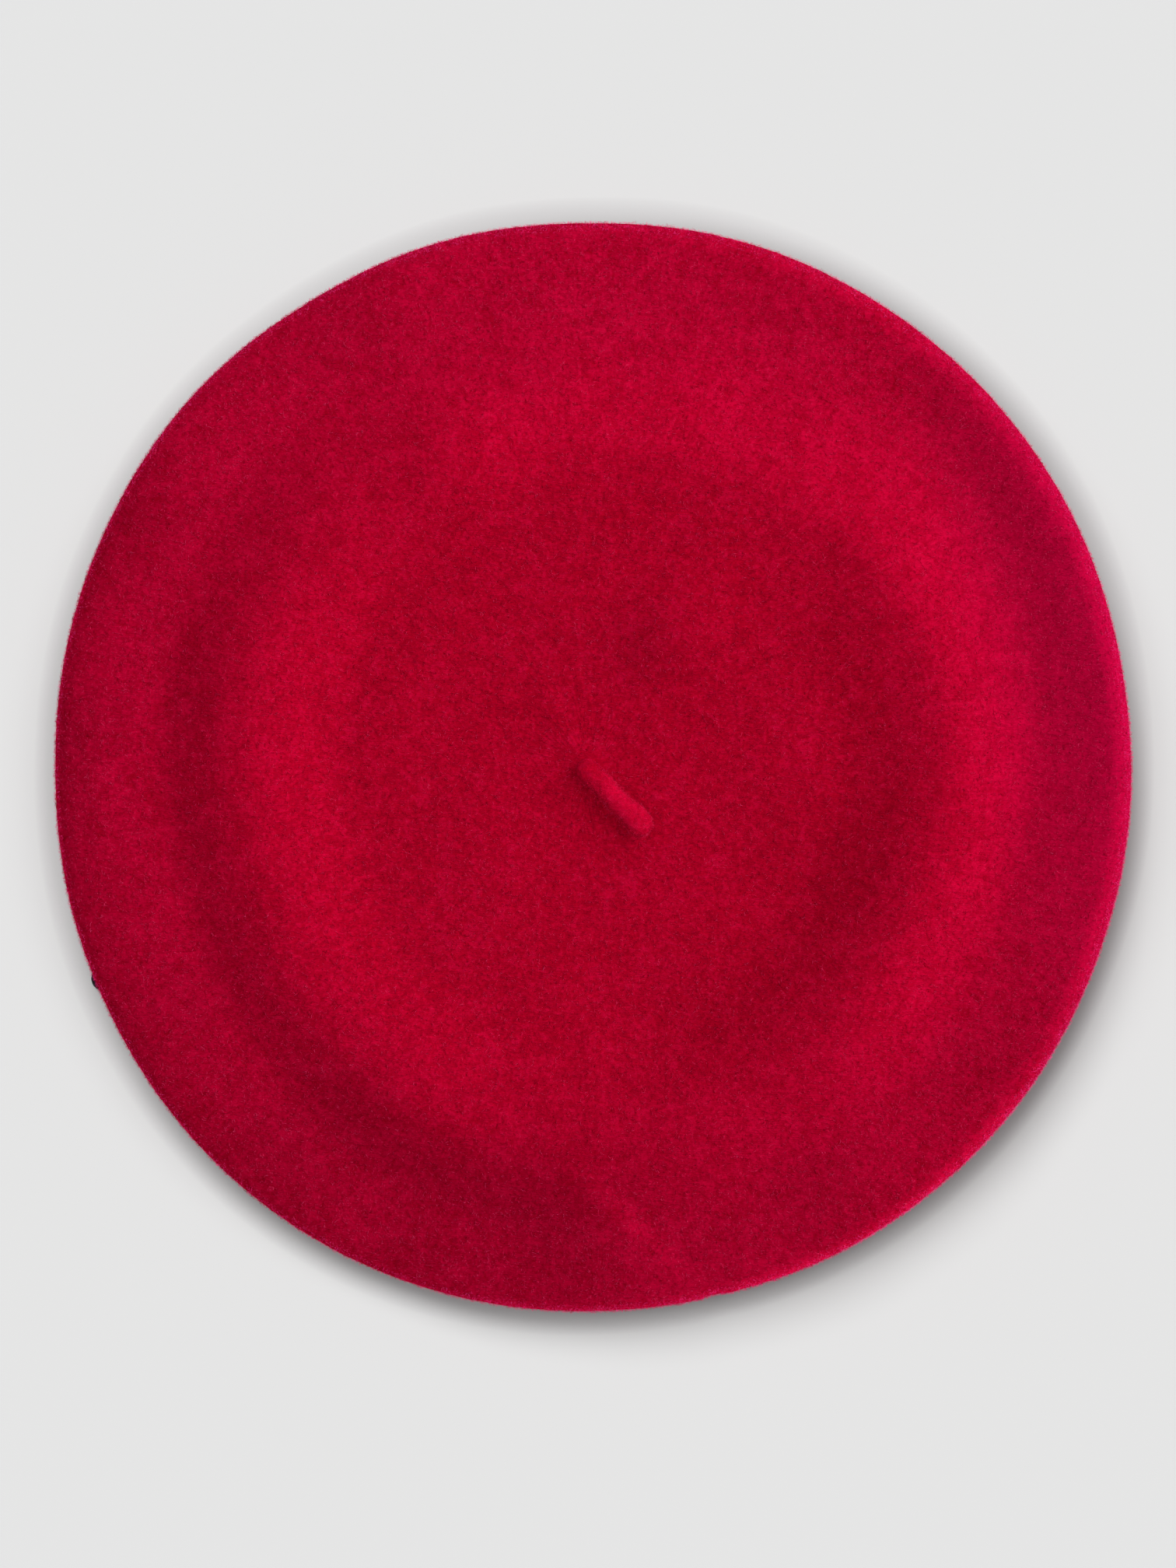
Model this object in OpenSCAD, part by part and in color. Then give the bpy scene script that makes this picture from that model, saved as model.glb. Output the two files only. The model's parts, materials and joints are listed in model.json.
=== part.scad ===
// Felt beret lying flat with its head opening down. A seamless felt crown carries a short stalk. A leather
// sweatband is folded round the edge of the head opening, holds a drawstring in its fold and stands up inside,
// where its free edge lifts the crown into a ring ridge. A lining follows the felt.
// +Z points up through the stalk. The origin lies on the table, under the middle of the head opening.

/* [Felt crown] */
// Diameter across the widest line of the rolled edge
crown_d = 280; // [230:1:340]
// Thickness of the felt
felt_t = 2.8; // [2:0.1:3.4]
// Depth of the dish below the ridge
dish_depth = 4.5; // [2:0.5:7]
// Width of the slope between the ridge and the floor of the dish
dish_slope = 40; // [25:1:60]
// Depth of the valley outside the ridge
valley_depth = 5.5; // [2:0.5:7]
// Place of the valley between the ridge, 0, and the rolled edge, 1
valley_place = 0.62; // [0.4:0.02:0.75]
// Swell of the crown between the valley and the rolled edge
rim_swell = 0.6; // [0:0.1:1.5]
// Width of the rolled edge
roll_w = 13; // [9:1:16]
// Height of the widest line above the table
edge_h = 10.5; // [8:0.5:13]
// Gap between the underside of the rolled edge and the table
table_gap = 2; // [1.8:0.1:3]
// Radius of the bend where the underside turns down to the head opening
bend_r = 3; // [2:0.5:5]
// Depth of felt held in the sweatband's fold
felt_hold = 5.5; // [4:0.5:8]

/* [Sweatband] */
// Diameter inside the sweatband
opening_d = 172; // [140:1:210]
// Thickness of the leather
leather_t = 0.9; // [0.6:0.1:1.2]
// Height of the free edge above the table
band_h = 22; // [18:0.5:28]
// Height of the straight wall that grips the head
wall_h = 12; // [9:0.5:15]
// Outward lean of the free edge
band_lean = 0.6; // [0:0.1:1.5]
// Outer radius of the fold's two corners
fold_r = 1.6; // [1.3:0.1:2]
// Gap between the two ends of the strip, where they meet at the back
butt_gap = 0.3; // [0.2:0.1:1]

/* [Lining] */
// Thickness of the lining cloth
lining_t = 0.4; // [0.3:0.1:0.6]
// Distance of the lining's seam outside the ridge
seam_out = 9; // [6:0.5:12]
// Width of the sag of the lining under the stalk's knot
sag_r = 30; // [15:1:40]

/* [Stalk] */
// Length from the pivot at the root to the tip
stalk_l = 23.5; // [12:0.5:35]
// Thickness at the root
root_d = 5.4; // [4:0.1:8]
// Thickness at the waist
waist_d = 4.5; // [3:0.1:7]
// Thickness at the tip
tip_d = 5.3; // [4:0.1:8]
// Direction in which the stalk lies
stalk_az = -46; // [-180:1:180]
// Rise of the stalk above the felt
stalk_rise = 3; // [2:1:30]
// Thickness of the thread shank under the stalk
shank_d = 1.2; // [0.8:0.1:2]
// Width of the knot under the felt
tack_d = 4.4; // [3:0.1:6]
// Height of the knot under the felt
tack_h = 1.8; // [1:0.1:2.5]

/* [Drawstring] */
// Thickness of the cord
cord_d = 1.2; // [1:0.1:1.4]
// Direction of the back of the head opening, where the cord comes out
back_az = 203.3; // [0:0.1:360]
// Width of the slot in the fold for the two leads
slot_w = 8.4; // [8:0.1:12]
// Distance of the knot's middle from the fold's outer face
bow_out = 8.4; // [8:0.1:10]
// Width of the knot
knot_d = 5.2; // [4.8:0.1:5.4]
// Height of the knot
knot_h = 3.1; // [2.5:0.1:3.5]

/* [Sewing] */
// Number of stitches round the fold
stitch_n = 72; // [36:1:120]
// Length of a stitch
stitch_l = 4.6; // [3:0.1:6]
// Number of bars that join the sweatband's two ends
bar_n = 4; // [2:1:6]
// Thickness of the sewing thread
thread_d = 0.6; // [0.4:0.1:0.8]

/* [Clearances] */
// Gap between layers that are sewn together
sewn_gap = 0.2; // [0.15:0.05:0.3]
// Gap round pieces that move
free_gap = 0.3; // [0.25:0.05:0.4]
// Gap between a thread or cord and the face that it lies on
lay_gap = 0.1; // [0.05:0.05:0.2]

/* [Hidden] */
$fn = 96;

felt_red = "#a30325";
leather_black = "#1d181b";
satin_red = "#5c0a1c";
thread_black = "#2a2428";
cord_black = "#19141a";

// The layers at the head opening, from the inside out
opening_r = opening_d / 2;
band_out_r = opening_r + leather_t;
lining_r = band_out_r + sewn_gap;
lip_in_r = lining_r + lining_t + sewn_gap;
lip_out_r = lip_in_r + felt_t;
flap_in_r = lip_out_r + sewn_gap;
flap_out_r = flap_in_r + leather_t;

// Heights in the sweatband's fold, with the cord under the edge of the felt
cord_r = cord_d / 2;
channel_r = (band_out_r + flap_in_r) / 2;
channel_z = leather_t + sewn_gap + cord_r;
felt_edge_z = channel_z + cord_r + sewn_gap;
flap_h = felt_edge_z + felt_hold;
lip_top_z = flap_h + sewn_gap;

// The crown's section, which rests on the free edge of the sweatband
crown_r = crown_d / 2;
ridge_r = band_out_r + band_lean - leather_t / 2;
ridge_z = band_h + sewn_gap + lining_t + sewn_gap + felt_t;
dish_z = ridge_z - dish_depth;
valley_z = ridge_z - valley_depth;
rim_r = crown_r - roll_w;
rim_z = valley_z + rim_swell;
valley_r = ridge_r + valley_place * (rim_r - ridge_r);
bend_mid_r = lip_out_r + bend_r;
under_z = lip_top_z + bend_r;
hole_r = shank_d / 2 + lay_gap;

// The stalk's pivot, and the sag that makes room for its knot under the felt
root_r = root_d / 2;
pivot_z = dish_z + free_gap + root_r;
tack_z = dish_z - felt_t - lay_gap;
tip_sag = tack_h + sewn_gap;
steps = 9;

// The bow's own frame: x out from the knot, away from the head opening, and y to the left of it
knot_r = knot_d / 2;
bow_r = flap_out_r + bow_out;
floor_z = cord_r + 2 * lay_gap;
loop_long_half = [
    [2.8, 0.9], [5.5, 1.6], [9, 2.5], [13, 3.4], [17, 4], [21, 4.3], [24.6, 4.2], [28.2, 3.8], [31.6, 3.3],
    [34.8, 2.9], [37.6, 2.6], [38.9, 2.3], [39.8, 1.4], [40.2, 0]
];
loop_short_half = [
    [2.8, 0.9], [5.8, 1.7], [9, 2.5], [12, 3.1], [15, 3.3], [18, 3.2], [21, 2.9], [23.4, 2.6], [24.7, 2.3],
    [25.6, 1.4], [26, 0]
];
tail_long_points = [
    [2.8, 0], [5.5, 0.2], [8, 0.6], [10.5, 1.2], [13, 1.9], [15.5, 2.5], [18, 2.9], [20.5, 3.1], [23, 3],
    [25.5, 2.6], [28, 2], [30.5, 1.3], [33, 0.6], [35.5, 0], [38, -0.4], [40.4, -0.6]
];
tail_short_points = [
    [2.8, 0], [5, -0.2], [7.2, -0.6], [9.4, -1.2], [11.6, -1.9], [13.8, -2.5], [16, -2.9], [18.2, -3],
    [20.4, -2.8], [22.6, -2.3], [24.8, -1.6], [27, -0.8], [29.2, 0], [31.3, 0.7], [33.4, 1.3]
];
loop_short_turn = 72;
tail_long_turn = -58;
tail_short_turn = -104;

// A lead leaves the knot beside the other one and bends round into the channel of the fold
lead_y = cord_r + 1.5 * lay_gap;
lead_bend_r = 2 * cord_d;
lead_end_x = channel_r - bow_r;
drawstring_end_y = lead_y + lead_bend_r + lay_gap;

// Height 1 at the crest, 0 at the foot, and level at both
function bump(u) = abs(u) < 1 ? (1 + cos(180 * u)) / 2 : 0;

// From a to b as s goes from 0 to 1, level at both ends
function ease(a, b, s) = a + (b - a) * (1 - cos(180 * s)) / 2;

function arc(mid, rx, ry, from, to, n) = [
    for (i = [0 : n]) let (t = from + (to - from) * i / n) mid + [rx * cos(t), ry * sin(t)]
];

function unit(v) = v / norm(v);

function reverse(p) = [for (i = [len(p) - 1 : -1 : 0]) p[i]];

function tail(p) = [for (i = [1 : len(p) - 1]) p[i]];

// The normal to the left of a path, at one of its points
function normal(p, i) =
    let (t = unit(p[min(i + 1, len(p) - 1)] - p[max(i - 1, 0)]))
    [-t[1], t[0]];

// The path again, moved to its right by d
function beside(p, d) = [for (i = [0 : len(p) - 1]) p[i] - d * normal(p, i)];

// Height of the crown's upper face
function crown_z(r) = r < ridge_r
    ? dish_z + dish_depth * bump((ridge_r - r) / dish_slope)
    : valley_z + valley_depth * bump((r - ridge_r) / (valley_r - ridge_r))
        + rim_swell * bump((rim_r - r) / (rim_r - valley_r));

// Points of the crown's upper face between two radii
function crown_points(from, to, n) = [
    for (i = [0 : n]) let (r = from + (to - from) * i / n) [r, crown_z(r)]
];

dish_points = crown_points(ridge_r - dish_slope, ridge_r, steps);
underside = [
    for (i = [0 : steps])
        [rim_r + (bend_mid_r - rim_r) * i / steps, ease(table_gap, under_z, i / steps)]
];
crown_face = concat(
    [[hole_r, dish_z]],
    dish_points,
    tail(crown_points(ridge_r, valley_r, steps)),
    tail(crown_points(valley_r, rim_r, 4)),
    tail(arc([rim_r, edge_h], roll_w, rim_z - edge_h, 90, 0, steps)),
    tail(arc([rim_r, edge_h], roll_w, edge_h - table_gap, 0, -90, steps)),
    tail(underside),
    tail(arc([bend_mid_r, lip_top_z], bend_r, bend_r, 90, 180, 5)),
    [[lip_out_r, felt_edge_z]]
);

// The lining's top hangs from the crown's section, with its sag in the middle
tip_face = [
    for (p = concat(
        crown_points(0, sag_r, 6),
        dish_points,
        tail(crown_points(ridge_r, ridge_r + seam_out, 5))
    )) p - [0, tip_sag * bump(p[0] / sag_r)]
];
tip_upper = beside(tip_face, felt_t + sewn_gap);
tip_lower = beside(tip_face, felt_t + sewn_gap + lining_t);
tip_edge = tip_lower[len(tip_lower) - 1];

// The lining's side rises clear of the felt's bend and ends under the edge of the top
side_rise_z = lip_top_z + bend_r;
side_end = tip_edge - [lining_t, 2 * sewn_gap];
side_face = concat(
    [[lining_r, felt_edge_z]],
    [
        for (i = [0 : steps])
            [ease(lining_r, side_end[0], i / steps), side_rise_z + (side_end[1] - side_rise_z) * i / steps]
    ]
);

band_section = concat(
    [[opening_r + band_lean, band_h], [opening_r, wall_h]],
    arc([opening_r + fold_r, fold_r], fold_r, fold_r, 180, 270, 5),
    arc([flap_out_r - fold_r, fold_r], fold_r, fold_r, 270, 360, 5),
    [[flap_out_r, flap_h], [flap_in_r, flap_h]],
    arc([flap_out_r - fold_r, fold_r], fold_r - leather_t, fold_r - leather_t, 360, 270, 5),
    arc([opening_r + fold_r, fold_r], fold_r - leather_t, fold_r - leather_t, 270, 180, 5),
    [[band_out_r, wall_h], [band_out_r + band_lean, band_h]]
);

// Radius of the stalk at a distance along it from the pivot
tip_r = tip_d / 2;
stem_l = stalk_l - tip_r;
function stem_r(s) = waist_d / 2 + (root_r - waist_d / 2) * bump(2 * s / stem_l)
    + (tip_r - waist_d / 2) * bump(2 * (stem_l - s) / stem_l);
stem_section = concat(
    arc([0, 0], root_r, root_r, -90, 0, steps),
    [for (i = [1 : steps - 1]) let (s = stem_l * i / steps) [stem_r(s), s]],
    arc([0, stem_l], tip_r, tip_r, 0, 90, steps)
);

// A round tube of eight sides along a route of points
module tube(route, d) {
    sides = 8;
    last = len(route) - 1;
    points = [
        for (i = [0 : last])
            let (
                ahead = unit(route[min(i + 1, last)] - route[max(i - 1, 0)]),
                side = unit(cross(ahead, [0, 0, 1])),
                up = cross(side, ahead)
            )
            for (k = [0 : sides - 1])
                route[i] + d / 2 * (cos(360 * k / sides) * side + sin(360 * k / sides) * up)
    ];
    walls = [
        for (i = [0 : last - 1], k = [0 : sides - 1])
            let (
                a = i * sides + k,
                b = i * sides + (k + 1) % sides
            )
            each [[a, b, b + sides], [a, b + sides, a + sides]]
    ];
    start = [for (k = [1 : sides - 2]) [0, k + 1, k]];
    end = [for (k = [1 : sides - 2]) [last * sides, last * sides + k, last * sides + k + 1]];
    polyhedron(points, concat(walls, start, end));
}

// The frame of the bow, with its middle at the knot
module at_bow(turn = 0) {
    rotate([0, 0, back_az])
        translate([bow_r, 0, 0])
            rotate([0, 0, turn])
                children();
}

// Points on the table, as points in space
function on_table(points) = [for (p = points) [p[0], p[1], floor_z]];

// A loop goes out along one side and comes back along the other
function loop_route(half) = on_table(concat(half, [for (p = tail(reverse(half))) [p[0], -p[1]]]));

module felt_crown() {
    color(felt_red)
        rotate_extrude()
            polygon(concat(crown_face, reverse(beside(crown_face, felt_t))));
}

module stalk() {
    color(felt_red)
        translate([0, 0, pivot_z])
            rotate([0, 0, stalk_az])
                rotate([0, 90 - stalk_rise, 0])
                    rotate_extrude()
                        polygon(stem_section);
}

module stalk_tack() {
    shank_top_z = pivot_z - root_r - free_gap;
    color(thread_black)
        rotate_extrude()
            polygon(concat(
                [[0, shank_top_z], [shank_d / 2, shank_top_z], [shank_d / 2, tack_z]],
                tail(arc([shank_d / 2, tack_z - tack_h / 2], (tack_d - shank_d) / 2, tack_h / 2, 90, -90, 8)),
                [[0, tack_z - tack_h]]
            ));
}

// The strip is folded over the felt's edge. Its ends meet at the back, over the slot for the drawstring
module sweatband() {
    slot_from_r = channel_r - cord_r;
    beyond_r = flap_out_r + leather_t;
    color(leather_black)
        difference() {
            rotate_extrude()
                polygon(band_section);
            rotate([0, 0, back_az]) {
                translate([slot_from_r, -slot_w / 2, leather_t + lay_gap])
                    cube([beyond_r - slot_from_r, slot_w, cord_d + 2 * sewn_gap]);
                translate([opening_r - leather_t, -butt_gap / 2, -leather_t])
                    cube([beyond_r - opening_r + leather_t, butt_gap, band_h + 2 * leather_t]);
            }
        }
}

module band_stitches() {
    stitch_z = felt_edge_z + felt_hold / 2;
    stitch_r = flap_out_r + thread_d / 2 + lay_gap / 2;
    color(thread_black)
        for (i = [0 : stitch_n - 1])
            rotate([0, 0, back_az + 360 * (i + 0.5) / stitch_n])
                translate([stitch_r, stitch_l / 2, stitch_z])
                    rotate([90, 0, 0])
                        cylinder(h = stitch_l, d = thread_d);
}

// Thread bars across the butt joint, on the inner face of the leaning free edge
module back_tack() {
    bar_pitch = (band_h - wall_h) / (bar_n + 0.5);
    color(thread_black)
        for (i = [0 : bar_n - 1])
            let (
                bar_z = wall_h + bar_pitch * (i + 0.75),
                face_r = opening_r + band_lean * (bar_z - wall_h) / (band_h - wall_h)
            )
            rotate([0, 0, back_az])
                translate([face_r - thread_d / 2 - lay_gap, stitch_l / 2, bar_z])
                    rotate([90, 0, 0])
                        cylinder(h = stitch_l, d = thread_d);
}

module lining_tip() {
    color(satin_red)
        rotate_extrude()
            polygon(concat(tip_upper, reverse(tip_lower)));
}

module lining_side() {
    color(satin_red)
        rotate_extrude()
            polygon(concat(side_face, reverse(beside(side_face, lining_t))));
}

module lining_seam() {
    color(thread_black)
        rotate_extrude()
            translate(tip_edge + [thread_d / 2 + lay_gap, -sewn_gap])
                circle(d = thread_d);
}

module drawstring() {
    half_gap = asin(drawstring_end_y / channel_r);
    color(cord_black)
        rotate([0, 0, back_az + half_gap])
            rotate_extrude(angle = 360 - 2 * half_gap)
                translate([channel_r, channel_z])
                    circle(d = cord_d);
}

module drawstring_leads() {
    straight_n = 5;
    lead_from_x = -2.8;
    bend_x = lead_end_x + lead_bend_r;
    straight = [
        for (i = [0 : straight_n])
            [
                lead_from_x + (bend_x - lead_from_x) * i / straight_n,
                lead_y,
                ease(floor_z, channel_z, i / straight_n)
            ]
    ];
    bend = [
        for (p = tail(arc([bend_x, lead_y + lead_bend_r], lead_bend_r, lead_bend_r, 270, 180, 6)))
            [p[0], p[1], channel_z]
    ];
    color(cord_black)
        at_bow()
            for (side = [0, 1])
                mirror([0, side, 0])
                    tube(concat(straight, bend), cord_d);
}

module bow_knot() {
    knot_low_z = 2 * lay_gap;
    color(cord_black)
        at_bow()
            rotate_extrude()
                polygon(concat(
                    [[0, knot_low_z]],
                    arc([knot_r - knot_h / 3, knot_low_z + knot_h / 2], knot_h / 3, knot_h / 2, -90, 90, 10),
                    [[0, knot_low_z + knot_h]]
                ));
}

module bow_loop_long() {
    color(cord_black)
        at_bow()
            tube(loop_route(loop_long_half), cord_d);
}

module bow_loop_short() {
    color(cord_black)
        at_bow(loop_short_turn)
            tube(loop_route(loop_short_half), cord_d);
}

module bow_tail_long() {
    color(cord_black)
        at_bow(tail_long_turn)
            tube(on_table(tail_long_points), cord_d);
}

module bow_tail_short() {
    color(cord_black)
        at_bow(tail_short_turn)
            tube(on_table(tail_short_points), cord_d);
}

felt_crown();
stalk();
stalk_tack();
sweatband();
band_stitches();
back_tack();
lining_tip();
lining_side();
lining_seam();
drawstring();
drawstring_leads();
bow_knot();
bow_loop_long();
bow_loop_short();
bow_tail_long();
bow_tail_short();
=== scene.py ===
import json
import math

import bpy
import numpy as np
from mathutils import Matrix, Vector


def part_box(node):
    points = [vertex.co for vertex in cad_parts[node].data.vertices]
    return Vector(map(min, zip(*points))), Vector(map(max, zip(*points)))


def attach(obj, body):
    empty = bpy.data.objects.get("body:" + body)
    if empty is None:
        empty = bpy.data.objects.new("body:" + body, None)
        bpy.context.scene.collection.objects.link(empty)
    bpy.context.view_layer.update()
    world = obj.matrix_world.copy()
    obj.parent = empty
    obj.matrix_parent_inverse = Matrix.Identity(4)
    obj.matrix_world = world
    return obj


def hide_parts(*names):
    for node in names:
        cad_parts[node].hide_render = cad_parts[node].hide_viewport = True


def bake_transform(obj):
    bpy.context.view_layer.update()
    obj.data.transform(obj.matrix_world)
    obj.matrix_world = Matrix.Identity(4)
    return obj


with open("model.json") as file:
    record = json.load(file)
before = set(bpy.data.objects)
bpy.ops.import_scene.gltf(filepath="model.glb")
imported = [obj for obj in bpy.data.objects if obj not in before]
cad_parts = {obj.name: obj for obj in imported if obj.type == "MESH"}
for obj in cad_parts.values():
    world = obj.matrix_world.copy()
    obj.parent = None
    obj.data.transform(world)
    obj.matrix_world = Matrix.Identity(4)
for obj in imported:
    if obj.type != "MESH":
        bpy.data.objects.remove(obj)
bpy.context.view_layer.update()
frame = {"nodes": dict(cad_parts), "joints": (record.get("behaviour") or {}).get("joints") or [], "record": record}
mm = 0.001  # shapes are worked out in millimetres, meshes are made in metres
print("frame loaded,", len(frame["nodes"]), "nodes")

# Places that the frame gives
joints = {joint["name"]: joint for joint in frame["joints"]}
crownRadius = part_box("felt_crown")[1].x / mm
openingRadius = frame["record"]["mounts"][0]["dims"]["r_mm"]
stalkPivot = np.array(joints["stalk_tilt"]["pos_m"]) / mm
knotLow, knotHigh = (np.array(corner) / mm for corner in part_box("bow_knot"))
knotMiddle = (knotLow + knotHigh) / 2
backAngle = math.atan2(knotMiddle[1], knotMiddle[0])
backDegrees = math.degrees(backAngle)

# Camera: straight down on the table, framed as the picture
cameraSet = {
    "picture": (1512, 2016),  # pixels
    "outlineAt": (763.5, 986),  # middle of the beret's outline in the picture
    "outlineRadius": 698.8,  # pixels
    "lens": 85,
    "sensor": 36,
}
outlineMiddle = np.array([1.2, 0.6])  # the felt lies a little to the upper right of its stalk
edgeHeight = 10.5  # of the widest line above the table
pixel = crownRadius / cameraSet["outlineRadius"]
cameraData = bpy.data.cameras.new("camera")
cameraData.lens = cameraSet["lens"]
cameraData.sensor_width = cameraSet["sensor"]
camera = bpy.data.objects.new("camera", cameraData)
cameraAway = cameraSet["picture"][1] * pixel * cameraData.lens / cameraData.sensor_width
offMiddle = (np.array(cameraSet["picture"]) / 2 - cameraSet["outlineAt"]) * (pixel, -pixel)
camera.location = (*(outlineMiddle + offMiddle) * mm, (edgeHeight + cameraAway) * mm)
bpy.context.scene.collection.objects.link(camera)
bpy.context.scene.camera = camera
print("camera", round(cameraAway), "mm above the edge")


# Small shapes that the pieces share
def bump(u):
    # 1 at the crest, 0 at the foot, level at both
    return (1 + np.cos(np.pi * np.clip(u, -1, 1))) / 2


def ease(u):
    # 0 to 1, level at both ends
    return (1 - np.cos(np.pi * np.clip(u, 0, 1))) / 2


def towards(angle, middle, width):
    # a bump round the beret, in degrees
    return bump(((angle - middle + 180) % 360 - 180) / width)


def heading(degrees):
    return math.cos(math.radians(degrees)), math.sin(math.radians(degrees)), 0


def unit(v):
    return v / np.linalg.norm(v, axis=-1, keepdims=True)


def solidOf(rings, closed=False):
    # a closed skin over rings of equally many points; the ends of an open row get a cap each
    count, sides = rings.shape[:2]
    points = rings.reshape(-1, 3)
    i, k = np.meshgrid(np.arange(count if closed else count - 1), np.arange(sides), indexing="ij")
    after, aside = (i + 1) % count, (k + 1) % sides
    corners = [i * sides + k, i * sides + aside, after * sides + aside, after * sides + k]
    quads = np.stack(corners, axis=-1).reshape(-1, 4)
    a, b, c, d = (points[quads[:, i]] - points.mean(0) for i in range(4))
    volume = np.einsum("ij,ij->", a, np.cross(b, c)) + np.einsum("ij,ij->", a, np.cross(c, d))
    faces = quads.tolist()
    if not closed:
        first = list(range(sides))
        faces += [first[::-1], [(count - 1) * sides + k for k in first]]
    if volume < 0:
        faces = [face[::-1] for face in faces]
    return points, faces


def gather(solids):
    # several solids as one mesh
    points, faces, start = [], [], 0
    for somePoints, someFaces in solids:
        points.append(somePoints)
        faces += [[start + i for i in face] for face in someFaces]
        start += len(somePoints)
    return np.concatenate(points), faces


def makeObject(name, shape, finish):
    points, faces = shape
    mesh = bpy.data.meshes.new(name)
    mesh.from_pydata((points * mm).tolist(), [], faces)
    mesh.shade_smooth()
    mesh.materials.append(finish)
    made = bpy.data.objects.new(name, mesh)
    bpy.context.scene.collection.objects.link(made)
    return made


def makePiece(name, shape, finish, stands=(), body="beret"):
    piece = makeObject(name, shape, finish)
    if stands:
        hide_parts(*stands)
    if body:
        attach(piece, body)
    return piece


def strides(path):
    return np.linalg.norm(np.diff(path, axis=0), axis=1)


def smoothPath(points, step):
    # a smooth line through given points, in even steps
    p = np.array(points, float)
    p = np.concatenate([[2 * p[0] - p[1]], p, [2 * p[-1] - p[-2]]])
    t = np.linspace(0, 1, 24, endpoint=False)[:, None]
    fine = []
    for a, b, c, d in zip(p, p[1:], p[2:], p[3:]):
        fine.append(b + t / 2 * (c - a + t * (2 * a - 5 * b + 4 * c - d + t * (3 * b - a - 3 * c + d))))
    fine = np.concatenate(fine + [p[-2:-1]])
    along = np.concatenate([[0], np.cumsum(strides(fine))])
    even = np.linspace(0, along[-1], max(2, round(along[-1] / step) + 1))
    return np.stack([np.interp(even, along, fine[:, i]) for i in range(3)], axis=1)


def aboutAxis(r, turn, z):
    # points at a radius, direction and height
    return np.stack(np.broadcast_arrays(r * np.cos(turn), r * np.sin(turn), z), axis=-1)


def pathFrames(path):
    # the side and upper directions along a path, without twist
    ahead = np.roll(path, -1, axis=0) - np.roll(path, 1, axis=0)
    ahead[0], ahead[-1] = path[1] - path[0], path[-1] - path[-2]
    ahead = unit(ahead)
    start = np.cross(ahead[0], (0, 0, 1))
    side = [start if np.linalg.norm(start) > 0.1 else np.cross(ahead[0], (1, 0, 0))]
    for a in ahead:
        side.append(unit(side[-1] - a * (a @ side[-1])))
    side = np.array(side[1:])
    return side, np.cross(side, ahead)


def tubeRings(path, radius, sides):
    # radius is one number, or one for each point of each ring
    side, upper = pathFrames(path)
    turn = np.arange(sides) * 2 * np.pi / sides
    spoke = np.cos(turn)[:, None] * side[:, None] + np.sin(turn)[:, None] * upper[:, None]
    radius = np.broadcast_to(np.asarray(radius, float), (len(path), sides))
    return path[:, None] + radius[..., None] * spoke


def onTable(points, turn=0, height=0):
    # points in the bow's own frame, x out from the knot, as points in space
    points = np.array(points, float)
    c, s = math.cos(backAngle + math.radians(turn)), math.sin(backAngle + math.radians(turn))
    x, y = points[:, 0], points[:, 1]
    z = points[:, 2] if points.shape[1] > 2 else np.full(len(x), height)
    return np.stack([knotMiddle[0] + c * x - s * y, knotMiddle[1] + s * x + c * y, z], axis=1)


# Shader maths
class Wire:
    # an output socket: arithmetic on it adds Math nodes
    def __init__(self, tree, socket=None):
        self.tree = tree
        self.socket = socket

    def node(self, kind, settings, inputs, out=0):
        made = self.tree.nodes.new(kind)
        for key, value in settings.items():
            setattr(made, key, value)
        for key, value in inputs.items():
            if isinstance(value, Wire):
                self.tree.links.new(value.socket, made.inputs[key])
            else:
                made.inputs[key].default_value = value
        return Wire(self.tree, made.outputs[out] if len(made.outputs) else None)

    def maths(self, operation, first, second):
        return self.node("ShaderNodeMath", {"operation": operation}, {0: first, 1: second})

    def __add__(self, other):
        return self.maths("ADD", self, other)

    def __sub__(self, other):
        return self.maths("SUBTRACT", self, other)

    def __rsub__(self, other):
        return self.maths("SUBTRACT", other, self)

    def __mul__(self, other):
        return self.maths("MULTIPLY", self, other)

    __radd__, __rmul__ = __add__, __mul__

    def most(self, other):
        return self.maths("MAXIMUM", self, other)

    def spread(self, low, high):
        # 0 at low, 1 at high
        sockets = {"Value": self, "From Min": low, "From Max": high}
        return self.node("ShaderNodeMapRange", {"clamp": True}, sockets)

    def blend(self, first, second):
        # one colour into another as this value goes from 0 to 1
        return self.node("ShaderNodeMix", {"data_type": "RGBA"}, {0: self, 6: first, 7: second}, 2)

    def place(self):
        return self.node("ShaderNodeTexCoord", {}, {}, "Object")

    def vector(self, operation, other, out="Vector"):
        return self.node("ShaderNodeVectorMath", {"operation": operation}, {0: self, 1: other}, out)

    def scaled(self, size):
        return self.node("ShaderNodeVectorMath", {"operation": "SCALE"}, {0: self, "Scale": size})

    def spots(self, spots):
        # what each spot adds in its middle, fading to its reach
        total = 0.0
        for x, y, far, much in spots:
            away = self.vector("DISTANCE", (x * mm, y * mm, 0), "Value")
            sockets = {"Value": away, "From Min": far * mm, "From Max": 0.0}
            near = self.node("ShaderNodeMapRange", {"interpolation_type": "SMOOTHSTEP"}, sockets)
            total = total + much * near
        return total

    def noise(self, scale, detail=2.0, roughness=0.5, distortion=0.0):
        sockets = {"Vector": self, "Scale": scale, "Detail": detail, "Roughness": roughness}
        return self.node("ShaderNodeTexNoise", {}, sockets | {"Distortion": distortion})

    def stretched(self, degrees, scale):
        # turned about the vertical and scaled along its axes
        sockets = {"Vector": self, "Rotation": (0, 0, math.radians(degrees)), "Scale": scale}
        return self.node("ShaderNodeMapping", {}, sockets)

    def relief(self, strength, distance):
        sockets = {"Height": self, "Strength": strength, "Distance": distance}
        return self.node("ShaderNodeBump", {}, sockets, "Normal")


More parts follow.
